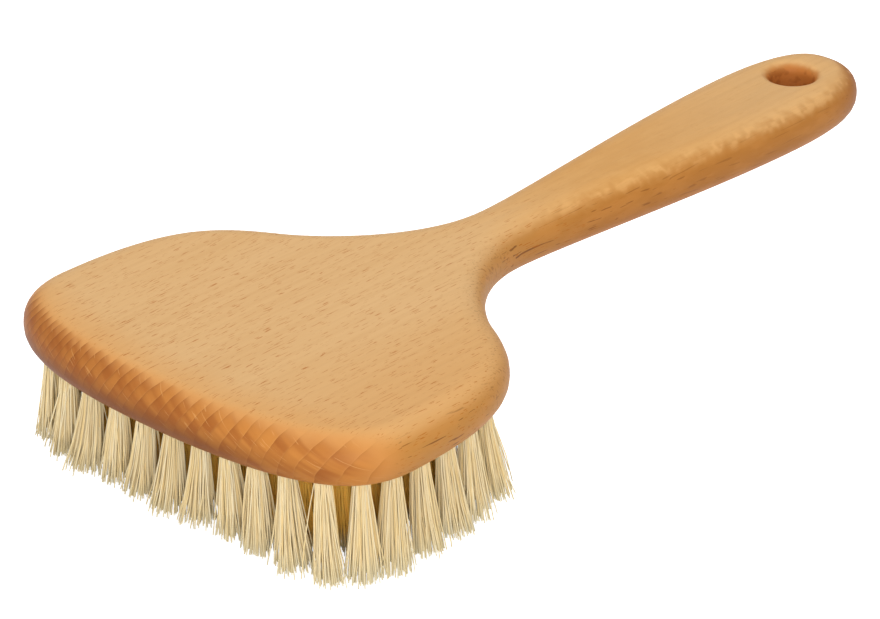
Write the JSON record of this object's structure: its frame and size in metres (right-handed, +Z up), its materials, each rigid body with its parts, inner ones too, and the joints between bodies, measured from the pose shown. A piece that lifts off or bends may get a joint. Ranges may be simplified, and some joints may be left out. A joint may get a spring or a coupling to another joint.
{
  "type": "bath brush",
  "caption": "Wooden bath and massage brush: broad rounded head with pale fibre tufts on its underside, narrow neck, and a flat handle with a hanging hole.",
  "frame": {"origin": "bottom centre of the bounding box: half way along and across the brush, on the plane of the trimmed fibre tips", "axes": "+X from the head towards the end of the handle, +Y across the head, +Z up from the fibre tips to the flat back"},
  "size_m": [0.25, 0.1194, 0.0374],
  "materials": {
    "beech": "satin oiled or lacquered beech",
    "fibre": "matte undyed plant fibre"
  },
  "bodies": {
    "root": {"wooden_body": "beech", "tufts_outer_ring": "fibre", "tufts_second_ring": "fibre", "tufts_third_ring": "fibre", "tufts_centre": "fibre"}
  },
  "joints": []
}
